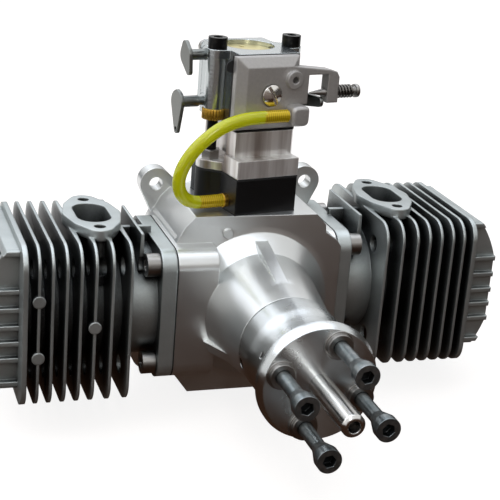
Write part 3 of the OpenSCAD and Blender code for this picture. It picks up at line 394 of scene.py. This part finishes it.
def draw_in_rims(made):
    """The mould's draft leaves each fin thinner at its rim than at its root, by the draft on each side."""
    depths = [v.co.y for v in made.verts]
    axis_y = (min(depths) + max(depths)) / 2
    moved = []
    for edge in made.edges:
        a, b = edge.verts
        across = b.co - a.co
        level = max(abs(across.y), abs(across.z)) <= LEVEL_MM * MM
        at_rim = max(abs(a.co.y - axis_y), abs(a.co.z)) > RIM_FROM_MM * MM
        if level and at_rim and round(abs(across.x) / MM, 2) in FIN_MM:
            inward = across.normalized() * DRAFT_MM * MM
            moved += [(a, inward), (b, -inward)]
    for vertex, step in moved:
        vertex.co += step


for side in ("left", "right"):
    eased("cylinder_" + side, cast_aluminium, edge_mm=0.5, shape=draw_in_rims)

# The mould's ejector pins left three round pads on the left cylinder's fins. Their places are across and up.
PAD_SIDES = 40
PAD_R_MM, PAD_TAPER_MM = 2.3, 0.25
PAD_DEEP_MM, PAD_PROUD_MM = 2.4, 0.05
PAD_AT_MM = [(-83.6, 11.2), (-63.9, 0.6), (-83.6, -9.9)]

fin_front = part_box("cylinder_left")[0].y
pad_y = fin_front + (PAD_DEEP_MM / 2 - PAD_PROUD_MM) * MM
made = bmesh.new()
for x_mm, z_mm in PAD_AT_MM:
    spot = Matrix.Translation((x_mm * MM, pad_y, z_mm * MM)) @ Matrix.Rotation(math.pi / 2, 4, "X")
    bmesh.ops.create_cone(made, cap_ends=True, segments=PAD_SIDES, depth=PAD_DEEP_MM * MM,
                          radius1=(PAD_R_MM - PAD_TAPER_MM) * MM, radius2=PAD_R_MM * MM, matrix=spot)
pads = as_piece(made, "ejector_pads", cast_aluminium)
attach(pads, body_of["cylinder_left"])

# Fresh from the lathe, with plain turning marks that hold oil
piston_alloy = machined("turned_piston_alloy", "#d0d0d0", roughness=0.3, mark_mm=0.5, depth=0.4, axis="X")
coat(piston_alloy, "piston_left", "piston_right")


# Propeller hub
# Turned from aluminium bar, with a waist and a rim, and held on the crankshaft's taper. The spinner stub in
# its middle is ground steel, and an ignition magnet is pressed into its side.

# A mirror-like sheen, drawn out into long streaks by the lathe's fine rings
turned_aluminium = machined("turned_aluminium", "#d6dadb", roughness=0.27, mark_mm=0.7, depth=0.2,
                            streak=0.85)
eased("prop_hub", turned_aluminium, edge_mm=0.3)
eased("stub_shaft", ground_steel, edge_mm=0.15)


# Screws, nuts and washers
# Alloy steel socket head screws. The propeller's are phosphated, and those of the carburettor and the rear
# cover have a hot black oxide. The cylinders' screws, the washers and the small screws are zinc plated.

RUBBED_PATCH_MM = 2.38
SOCKET_SHADE_MM = 4


def blackened(name, oxide, rubbed, roughness):
    """Steel with a dark film that handling has rubbed paler in patches, and painted shade darkest down in the
    sockets.
    """
    made, tree, place = new_material(name)
    rub = add(tree, "TexNoise", {"Vector": place, "Scale": grain(RUBBED_PATCH_MM), "Detail": 4.0})
    worn = add(tree, "ValToRGB", {"Fac": rub}, stops=((0.45, oxide), (0.75, rubbed)))
    # Painted shade: the colour is darkened where other surfaces close in, deepest down in the sockets
    sunk = add(tree, "AmbientOcclusion", {"Distance": SOCKET_SHADE_MM * MM}, samples=8)
    light = add(tree, "MapRange", {"Value": sunk.outputs["AO"], "From Min": 0.35, "From Max": 0.9,
                                   "To Min": 0.08, "To Max": 1.0})
    shaded = add(tree, "VectorMath", {0: worn, "Scale": light}, operation="SCALE")
    film = add(tree, "BsdfPrincipled", {"Base Color": shaded, "Metallic": 0.9, "Roughness": roughness})
    add(tree, "OutputMaterial", {"Surface": film})
    return made


# Oxide is a satin black that goes brown where it is rubbed, and phosphate a blue grey with a dull shine
black_oxide = blackened("black_oxide_steel", oxide="#1c1d1e", rubbed="#363432", roughness=0.36)
phosphated = blackened("phosphated_steel", oxide="#7b8386", rubbed="#9da1a2", roughness=0.3)
eased("prop_bolts", phosphated, edge_mm=0.2)
for node in ("carb_bolts", "rear_cover_screws"):
    eased(node, black_oxide, edge_mm=0.2)
# The piston rings' cast iron and the magnet's case are as dark
coat(black_oxide, "piston_rings_left", "piston_rings_right", "hub_magnet")

# A duller and warmer grey than bare steel
zinc_plated = machined("zinc_plated_steel", "#9c9a97", roughness=0.3, mark_mm=0.4, depth=0.25)
for node in ("prop_washers", "cylinder_bolts", "carb_bolt_nut", "metering_screws", "idle_screw"):
    eased(node, zinc_plated, edge_mm=0.12)


# Reed block and gaskets
# The block is moulded from black glass-filled nylon and holds the reed cage. The gaskets are cut from black
# rubberised sheet, to the outline of what they seal, and the shaft's seal is the same rubber.

# Deep black with a satin skin, and a faint mottle where glass fibres lie near the surface. The fibres are
# about 0.3 mm long, and the mottle is drawn coarser to show.
FIBRE_MOTTLE_MM = 1.11

black_plastic, tree, place = new_material("glass_filled_nylon")
mottle = add(tree, "TexNoise", {"Vector": place, "Scale": grain(FIBRE_MOTTLE_MM), "Detail": 2.0})
satin = add(tree, "MapRange", {"Value": mottle, "To Min": 0.32, "To Max": 0.5})
round_edge = add(tree, "Bevel", {"Radius": 0.7 * MM}, samples=6)
skin = add(tree, "Bump", {"Height": mottle, "Strength": 0.2, "Distance": 0.05 * MM, "Normal": round_edge})
plastic = add(tree, "BsdfPrincipled", {"Base Color": linear("#08080a"), "Specular IOR Level": 0.3,
                                       "Roughness": satin, "Normal": skin})
add(tree, "OutputMaterial", {"Surface": plastic})
eased("reed_block", black_plastic, edge_mm=0.35)
coat(black_plastic, "reed_cage", "reed_petals")

# Matt black, with the felt of its fibres, which is finer than 0.1 mm and drawn coarser to show
FELT_MM = 0.556

rubber, tree, place = new_material("rubberised_gasket")
fibre = add(tree, "TexNoise", {"Vector": place, "Scale": grain(FELT_MM), "Detail": 2.0})
felt = add(tree, "Bump", {"Height": fibre, "Strength": 0.3, "Distance": 0.04 * MM})
sheet = add(tree, "BsdfPrincipled", {"Base Color": linear("#151516"), "Roughness": 0.7, "Normal": felt})
add(tree, "OutputMaterial", {"Surface": sheet})
coat(rubber, "rear_cover_gasket", "base_gaskets", "intake_gaskets", "pump_cover_gasket", "crank_seal")


# Manifold
# A milled block of aluminium between the reed block and the carburettor: a narrow neck on a two-step flange,
# brushed upright by hand and held by the carburettor's long bolts.

# Soft upright bands, from grey to nearly white, under fine scores, both 14 times as long as wide. Real scores
# are about 0.1 mm apart, and are drawn coarser to show.
BRUSH_BAND_MM = 6.67
SCORE_MM = 0.4
STRETCHED = (1, 1, 0.07)

brushed_aluminium, tree, place = new_material("brushed_aluminium")
drawn = add(tree, "Mapping", {"Vector": place, "Scale": STRETCHED})
bands = add(tree, "TexNoise", {"Vector": drawn, "Scale": grain(BRUSH_BAND_MM), "Detail": 4.0})
tone = add(tree, "ValToRGB", {"Fac": bands}, stops=((0.34, "#9b9089"), (0.6, "#f7f6f4")))
scores = add(tree, "TexNoise", {"Vector": drawn, "Scale": grain(SCORE_MM), "Detail": 2.0})
worn_edge = add(tree, "Bevel", {"Radius": 0.6 * MM}, samples=6)
scored = add(tree, "Bump", {"Height": scores, "Strength": 0.3, "Distance": 0.03 * MM, "Normal": worn_edge})
metal = add(tree, "BsdfPrincipled", {"Base Color": tone, "Metallic": 0.6, "Roughness": 0.28,
                                     "Normal": scored})
add(tree, "OutputMaterial", {"Surface": metal})
eased("manifold", brushed_aluminium, edge_mm=0.3)


# Carburettor
# Body and covers are die cast in zinc alloy and screwed together. The body is tumbled bright, and the pump
# cover keeps the grey skin of the die. Shafts, levers and needles are steel, and discs and lock nut brass.

# Smooth and bright, with the slow ripple that tumbling leaves
tumbled = machined("tumbled_die_casting", "#c2c8c9", roughness=0.22, mark_mm=1.6, depth=0.12, axis="Z",
                   metallic=0.95)
eased("carb_body", tumbled, edge_mm=0.25)
eased("metering_cover", tumbled, edge_mm=0.25)

# Half metallic and matt: a warm grey with soft edges and a fine tooth. The real tooth is about 0.2 mm, and is
# drawn coarser to show.
DIE_GRAIN_MM = 0.91

grey_die_casting, tree, place = new_material("grey_die_casting")
toothed = add(tree, "TexNoise", {"Vector": place, "Scale": grain(DIE_GRAIN_MM), "Detail": 3.0})
tone = add(tree, "ValToRGB", {"Fac": toothed}, stops=((0.0, "#b0adaa"), (1.0, "#c4c1bd")))
round_edge = add(tree, "Bevel", {"Radius": 0.9 * MM}, samples=6)
skin = add(tree, "Bump", {"Height": toothed, "Strength": 0.3, "Distance": 0.08 * MM, "Normal": round_edge})
casting = add(tree, "BsdfPrincipled", {"Base Color": tone, "Metallic": 0.5, "Roughness": 0.42,
                                       "Normal": skin})
add(tree, "OutputMaterial", {"Surface": casting})
eased("pump_cover", grey_die_casting, edge_mm=0.4)

# Golden where it is turned, and a pale straw yellow where the sheet was rolled
turned_brass = machined("turned_brass", "#c99f45", roughness=0.26, mark_mm=0.5, depth=0.3, axis="X")
rolled_brass = machined("rolled_brass_sheet", "#e6d9a0", roughness=0.34, mark_mm=1.2, depth=0.1, axis="X")
eased("brass_lock_nut", turned_brass, edge_mm=0.12)
coat(turned_brass, "pulse_barb", "rod_bearings_left", "rod_bearings_right")
coat(rolled_brass, "choke_disc", "throttle_disc")

# Mid grey and soft, with a slight grain from the press
stamped_steel = machined("stamped_steel", "#7b7d7a", roughness=0.3, mark_mm=0.9, depth=0.2, axis="X")
for node in ("choke_shaft", "throttle_shaft", "mixture_needle_high", "mixture_needle_low"):
    eased(node, stamped_steel, edge_mm=0.15)


# Pump cover screw
# A slotted screw of nickel plated steel, which clamps the pump cover. Its low domed head is turned, and the
# slot is milled across the dome.

# The carburettor stands turned on its manifold
UP = Vector((0, 0, 1))
CARB_YAW = math.radians(11.5)
carb_right = Vector((math.cos(CARB_YAW), math.sin(CARB_YAW), 0))
carb_front = Vector((math.sin(CARB_YAW), -math.cos(CARB_YAW), 0))

SCREW_LONG_MM = 6.3
HEAD_R_MM, DOME_MM, SKIRT_MM = 4.0, 1.1, 1.1
SLOT_MM, SLOT_DEEP_MM = 1.1, 0.9
SLOT_TURN = math.radians(-62)
COLUMNS = 24
# Rows on one side of the slot's middle: its steep wall, the lip beside it, and the dome out to the rim
WALL_MM, LIP_MM, RIM_MM = 0.01, 0.12, 0.02
SIDE_MM = [SLOT_MM / 2 - WALL_MM, SLOT_MM / 2, SLOT_MM / 2 + LIP_MM, 1.2, 1.8, 2.4, 3, 3.6, HEAD_R_MM - RIM_MM]
rows_mm = [-v for v in reversed(SIDE_MM)] + SIDE_MM

low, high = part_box("pump_cover_screw")
head_top = (low + high) / 2 + carb_front * SCREW_LONG_MM / 2 * MM
slot_way = math.cos(SLOT_TURN) * carb_right + math.sin(SLOT_TURN) * UP
over_way = carb_front.cross(slot_way)
made = bmesh.new()
rows = []
for v in rows_mm:
    half = math.sqrt(HEAD_R_MM ** 2 - v ** 2)
    row = []
    for c in range(COLUMNS + 1):
        u = half * math.sin(math.pi / 2 * (2 * c / COLUMNS - 1))
        in_slot = abs(v) < SLOT_MM / 2
        sunk = SLOT_DEEP_MM if in_slot else DOME_MM * (u * u + v * v) / HEAD_R_MM ** 2
        row.append(made.verts.new(head_top + (u * slot_way + v * over_way - sunk * carb_front) * MM))
    rows.append(row)
for a, b in zip(rows, rows[1:]):
    for c in range(COLUMNS):
        made.faces.new((a[c], a[c + 1], b[c + 1], b[c]))
rim = [e for e in made.edges if e.is_boundary]
skirt = bmesh.ops.extrude_edge_only(made, edges=rim)
for vertex in skirt["geom"]:
    if isinstance(vertex, bmesh.types.BMVert):
        above = carb_front.dot(vertex.co - head_top) + (DOME_MM + SKIRT_MM) * MM
        vertex.co -= carb_front * above
bmesh.ops.recalc_face_normals(made, faces=made.faces)

# The clearest mirror on the engine, slightly warm
nickel_plated = machined("nickel_plated_steel", "#e2dfd9", roughness=0.16, mark_mm=0.4, depth=0.1, axis="X")
pan_head = as_piece(made, "pan_head", nickel_plated, crease_deg=40)
stands_for(pan_head, "pump_cover_screw")


# Idle screw spring
# A coil of oiled music wire on the idle screw, squeezed between the cover's arm and the screw's head. It
# holds the screw by friction.

WIRE_MM = 0.8
WIRE_SIDES = 12
COIL_R_MM = 2.15
TURNS = 5
STEPS_PER_TURN = 36


def tube(name, path, radius, sides, material, inner=0.0):
    """A round bar along a path, or a pipe if an inner radius is given."""
    made = bmesh.new()
    rings = []
    side = (path[1] - path[0]).orthogonal()
    for i, point in enumerate(path):
        ahead = (path[min(i + 1, len(path) - 1)] - path[max(i - 1, 0)]).normalized()
        side = (side - ahead * side.dot(ahead)).normalized()
        over = ahead.cross(side)
        angles = [2 * math.pi * k / sides for k in range(sides)]
        spokes = [math.cos(a) * side + math.sin(a) * over for a in angles]
        rings.append([[made.verts.new(point + r * spoke) for spoke in spokes] for r in (radius, inner) if r])

    def join(p, q):
        for k in range(sides):
            made.faces.new((p[k - 1], p[k], q[k], q[k - 1]))

    for a, b in zip(rings, rings[1:]):
        for p, q in zip(a, b):
            join(p, q)
    for end in (rings[0], rings[-1]):
        if inner:
            join(*end)
        else:
            made.faces.new(end[0])
    bmesh.ops.recalc_face_normals(made, faces=made.faces)
    return as_piece(made, name, material, crease_deg=40)


low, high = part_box("idle_spring")
middle = (low + high) / 2
end_on = 2 * COIL_R_MM * MM * math.sin(CARB_YAW)
half_long = (high.x - low.x - end_on) / 2 / math.cos(CARB_YAW) - WIRE_MM / 2 * MM
coil = []
for step in range(TURNS * STEPS_PER_TURN + 1):
    share = step / (TURNS * STEPS_PER_TURN)
    angle = 2 * math.pi * TURNS * share
    outward = math.sin(angle) * UP - math.cos(angle) * carb_front
    coil.append(middle + carb_right * half_long * (2 * share - 1) + outward * COIL_R_MM * MM)

# Dark grey under oil, bright on the outside of each turn
spring_steel = machined("oiled_spring_steel", "#6f6c68", roughness=0.28, mark_mm=0.4, depth=0.1, axis="X")
spring = tube("idle_spring_wire", coil, WIRE_MM / 2 * MM, WIRE_SIDES, spring_steel)
stands_for(spring, "idle_spring")


# Pulse tube
# Clear polyurethane fuel tube, pushed over a ribbed brass barb at each end. It carries the crankcase's
# pulses from the reed block to the pump, where a die cast elbow takes it.

TUBE_R_MM, BORE_R_MM = 2.4, 1.5
TUBE_SIDES = 32
TUBE_STEPS = 5
BARB_LONG_MM = 10
CARB_ORIGIN_MM = Vector((0, -21.6, 0))
ELBOW_AT_MM = (8.6, -19.8, 71.4)
LOWER_X_MM, LOWER_Z_MM = -16.2, 38.8
# The route from the elbow to the reed block in the carburettor's frame: how far right of the lower end, how
# far behind the elbow, and the share of the rise between the two
ROUTE = [(20.4, 0, 1), (15, 0, 1), (10.2, 0, 0.997), (4.2, 0, 0.988), (-1.3, 0.2, 0.954), (-6.5, 0.6, 0.887),
         (-10.8, 1.3, 0.791), (-14.6, 2.1, 0.675), (-17.4, 3, 0.546), (-19.1, 4, 0.408), (-19.4, 4.9, 0.279),
         (-18.1, 5.8, 0.156), (-15.3, 6.6, 0.061), (-11.6, 7, 0.012), (-6.9, 7.3, 0), (0, 7.3, 0)]


def from_carb(x_mm, y_mm, z_mm):
    """A point of the carburettor's frame in the engine's."""
    return (CARB_ORIGIN_MM + x_mm * carb_right - y_mm * carb_front + z_mm * UP) * MM


def smooth_route(points, steps):
    """Points along the curve that passes through all the given ones."""
    padded = [2 * points[0] - points[1], *points, 2 * points[-1] - points[-2]]
    made = []
    for a, b, c, d in zip(padded, padded[1:], padded[2:], padded[3:]):
        for step in range(steps):
            t = step / steps
            made.append(0.5 * (2 * b + (c - a) * t + (2 * a - 5 * b + 4 * c - d) * t ** 2
                               + (3 * b - a - 3 * c + d) * t ** 3))
    return [*made, points[-1]]


# Yellow-green, wet-looking and cloudy: light passes through the wall and glows in it
CLOUD_MM = 6.25

polyurethane, tree, place = new_material("clear_polyurethane")
cloud = add(tree, "TexNoise", {"Vector": place, "Scale": grain(CLOUD_MM), "Detail": 3.0})
tint = add(tree, "ValToRGB", {"Fac": cloud}, stops=((0.0, "#e6e800"), (1.0, "#fcff24")))
wall = add(tree, "BsdfPrincipled", {"Base Color": tint, "Roughness": 0.12, "IOR": 1.49,
                                    "Transmission Weight": 0.25, "Subsurface Weight": 0.3,
                                    "Subsurface Radius": (1, 1, 0.1), "Subsurface Scale": 2 * MM})
add(tree, "OutputMaterial", {"Surface": wall})

# Over the barbs the wall is stretched thin, and shows the ribbed brass behind it. The ribs are drawn a
# little further apart than real ones, to show.
RIB_PITCH_MM = 0.8

over_brass, tree, place = new_material("polyurethane_over_brass")
ribs = add(tree, "TexWave", {"Vector": place, "Scale": BAND / (RIB_PITCH_MM * MM), "Distortion": 0.6},
           bands_direction="X").outputs["Fac"]
glow = add(tree, "ValToRGB", {"Fac": ribs}, stops=((0.0, "#c39d08"), (1.0, "#ecd01c")))
ringed = add(tree, "Bump", {"Height": ribs, "Strength": 0.3, "Distance": 0.2 * MM})
wall = add(tree, "BsdfPrincipled", {"Base Color": glow, "Metallic": 0.35, "Roughness": 0.16, "IOR": 1.49,
                                    "Normal": ringed})
add(tree, "OutputMaterial", {"Surface": wall})

rise_mm = ELBOW_AT_MM[2] - LOWER_Z_MM
route = [from_carb(LOWER_X_MM + x, ELBOW_AT_MM[1] + y, LOWER_Z_MM + share * rise_mm) for x, y, share in ROUTE]
pulse_tube = tube("pulse_tube_wall", smooth_route(route, TUBE_STEPS), TUBE_R_MM * MM, TUBE_SIDES,
                  polyurethane, inner=BORE_R_MM * MM)
pulse_tube.data.materials.append(over_brass)
for face in pulse_tube.data.polygons:
    if min((face.center - end).length for end in (route[0], route[-1])) < BARB_LONG_MM * MM:
        face.material_index = 1
stands_for(pulse_tube, "pulse_tube")

# The elbow keeps the die's grey skin. Only what lies between these two distances from its head's axis is
# squared, so the stem and the barb stay as they are.
HEAD_MM = (2.6, 3.85)
ELBOW_R_MM = 3.8
BLOCK_HALF_MM = 3.7
# At 2 it stays a circle, and higher is squarer
SQUARENESS = 4
elbow_middle = from_carb(*ELBOW_AT_MM)


def squared(made):
    """Makes the elbow's round head a block with rounded corners."""
    for vertex in made.verts:
        out = (vertex.co - elbow_middle) / MM
        wide, tall = out.dot(carb_right), out.z
        from_axis = math.hypot(wide, tall)
        if HEAD_MM[0] < from_axis < HEAD_MM[1]:
            square = (abs(wide) ** SQUARENESS + abs(tall) ** SQUARENESS) ** (1 / SQUARENESS)
            growth = BLOCK_HALF_MM / ELBOW_R_MM * from_axis / square - 1
            vertex.co += (wide * carb_right + tall * UP) * growth * MM


eased("pulse_elbow", grey_die_casting, edge_mm=0.5, sharp_deg=40, shape=squared)
